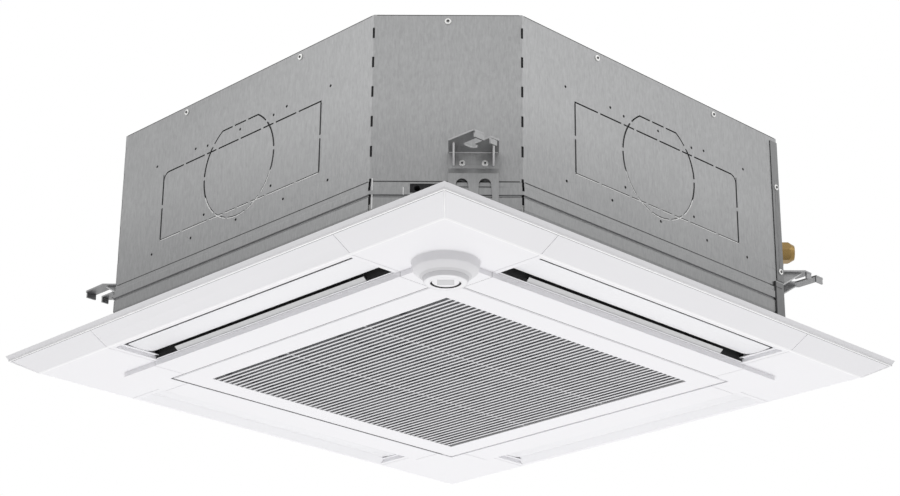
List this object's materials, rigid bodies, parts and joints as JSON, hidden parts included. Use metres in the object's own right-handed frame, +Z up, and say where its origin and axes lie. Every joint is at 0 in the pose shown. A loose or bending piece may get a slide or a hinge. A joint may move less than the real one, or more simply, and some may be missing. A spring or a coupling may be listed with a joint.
{
  "type": "ceiling cassette air conditioner",
  "caption": "Four-way ceiling cassette: galvanised casing with slotted hanger brackets above a square white panel with swinging vanes, hinged intake grille and sensor dome.",
  "frame": {"origin": "centre of the unit in the plane of the ceiling's lower face, where the panel's rim seats", "axes": "+Z up, towards the casing; -Y front; +X right; the pipes leave at the back right corner"},
  "size_m": [0.95, 0.95, 0.3805],
  "materials": {
    "galvanised": "satin",
    "screw_steel": "satin",
    "white_plastic": "satin",
    "vane_plastic": "satin",
    "sensor_ring_plastic": "satin",
    "sensor_cup_plastic": "satin",
    "sensor_window": "gloss",
    "dark_foam": "matte",
    "pan_foam": "matte",
    "black_plastic": "matte",
    "grey_plastic": "matte",
    "brass": "satin",
    "copper": "satin",
    "fin_aluminium": "satin",
    "motor_metal": "satin",
    "rubber": "matte",
    "board_green": "satin",
    "filter_grey": "matte",
    "filter_mesh": "matte"
  },
  "bodies": {
    "housing": {"casing_wrap": "galvanised", "top_plate": "galvanised", "casing_insulation": "dark_foam", "pipe_cover": "galvanised", "pipe_cover_base": "galvanised", "casing_screws": "screw_steel", "cable_bushing": "black_plastic", "hanger_front_right": "galvanised", "hanger_back_right": "galvanised", "hanger_front_left": "galvanised", "hanger_back_left": "galvanised", "hanger_screws": "screw_steel", "panel_frame": "white_plastic", "outlet_liners": "dark_foam", "panel_gasket": "dark_foam", "panel_screws": "screw_steel", "corner_cover_sensor": "white_plastic", "corner_cover_back_right": "white_plastic", "corner_cover_front_left": "white_plastic", "corner_cover_back_left": "white_plastic", "sensor_ring": "sensor_ring_plastic", "sensor_motor": "grey_plastic", "vane_motors": "grey_plastic", "grille_catch_sockets": "white_plastic", "fan_motor": "motor_metal", "motor_mounts": "rubber", "motor_bolts": "screw_steel", "bell_mouth": "black_plastic", "coil_fins": "fin_aluminium", "coil_end_plates": "galvanised", "coil_bends": "copper", "drain_pan": "pan_foam", "drain_pump": "grey_plastic", "drain_hose": "rubber", "drain_socket": "white_plastic", "float_stem": "white_plastic", "gas_pipe": "copper", "gas_flare_nut": "brass", "liquid_pipe": "copper", "liquid_flare_nut": "brass", "control_box": "galvanised", "control_box_cover": "galvanised", "control_board": "board_green", "terminal_block": "black_plastic"},
    "vane_front": {"vane_front": "vane_plastic"},
    "vane_right": {"vane_right": "vane_plastic"},
    "vane_back": {"vane_back": "vane_plastic"},
    "vane_left": {"vane_left": "vane_plastic"},
    "grille": {"intake_grille": "white_plastic", "grille_hinge_pins": "screw_steel", "air_filter_frame": "filter_grey", "air_filter_net": "filter_mesh"},
    "fan": {"turbo_fan": "black_plastic", "fan_shaft": "screw_steel", "fan_nut": "screw_steel"},
    "sensor_head": {"sensor_turret": "sensor_cup_plastic", "sensor_lens": "sensor_window"},
    "float": {"float_ring": "white_plastic"}
  },
  "joints": [
    {"name": "vane_front_swing", "type": "hinge", "parent": "housing", "child": "vane_front", "pos_m": [0, -0.374, -0.011], "axis": [1, 0, 0], "range_deg": [0, 75]},
    {"name": "vane_right_swing", "type": "hinge", "parent": "housing", "child": "vane_right", "pos_m": [0.374, 0, -0.011], "axis": [0, 1, 0], "range_deg": [0, 75]},
    {"name": "vane_back_swing", "type": "hinge", "parent": "housing", "child": "vane_back", "pos_m": [0, 0.374, -0.011], "axis": [-1, 0, 0], "range_deg": [0, 75]},
    {"name": "vane_left_swing", "type": "hinge", "parent": "housing", "child": "vane_left", "pos_m": [-0.374, 0, -0.011], "axis": [0, -1, 0], "range_deg": [0, 75]},
    {"name": "grille_hinge", "type": "hinge", "parent": "housing", "child": "grille", "pos_m": [0, 0.2905, -0.028], "axis": [1, 0, 0], "range_deg": [0, 90]},
    {"name": "fan_spin", "type": "hinge", "parent": "housing", "child": "fan", "pos_m": [0, 0, 0.2], "axis": [0, 0, 1], "continuous": true},
    {"name": "sensor_turn", "type": "hinge", "parent": "housing", "child": "sensor_head", "pos_m": [0.331, -0.331, -0.052], "axis": [0, 0, 1], "range_deg": [-170, 170]},
    {"name": "float_rise", "type": "slide", "parent": "housing", "child": "float", "axis": [0, 0, 1], "range_m": [0, 0.008]}
  ]
}
